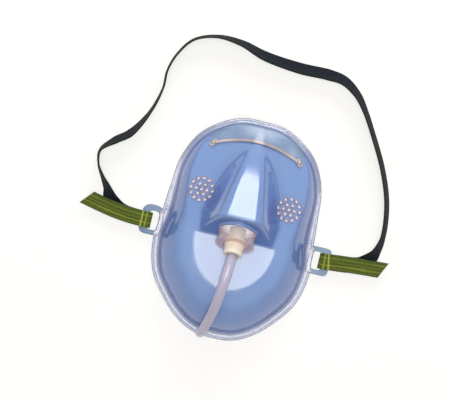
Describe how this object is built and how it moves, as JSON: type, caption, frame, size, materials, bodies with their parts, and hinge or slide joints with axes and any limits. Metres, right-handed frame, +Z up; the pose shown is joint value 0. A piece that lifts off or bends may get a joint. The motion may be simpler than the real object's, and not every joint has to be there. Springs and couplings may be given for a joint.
{
  "type": "oxygen face mask",
  "caption": "Clear vinyl face mask with a flange, nose clip, vent holes, a port with adapter and tube, and an elastic head strap threaded through its side tabs.",
  "frame": {"origin": "middle of the flange's footprint, on the surface that the flange rests on", "axes": "+Z up, out of the mask's front; +Y toward the nose bridge; +X toward the viewer's right, seen from the front"},
  "size_m": [0.1849, 0.176, 0.0527],
  "materials": {
    "clear_vinyl": "clear blue-tinted soft vinyl, glossy",
    "clip_metal": "bare rolled aluminium, softly brushed",
    "adapter_plastic": "clear hard plastic, smooth",
    "nipple_plastic": "cream plastic, smooth",
    "tube_vinyl": "clear soft vinyl tube, glossy",
    "strap_elastic": "woven elastic, olive green face and dark back"
  },
  "bodies": {
    "root": {"mask_shell": "clear_vinyl", "nose_clip": "clip_metal", "rivet_left": "clip_metal", "rivet_right": "clip_metal", "port_adapter": "adapter_plastic", "tube_nipple": "nipple_plastic", "oxygen_tube": "tube_vinyl", "head_strap": "strap_elastic"}
  },
  "joints": []
}
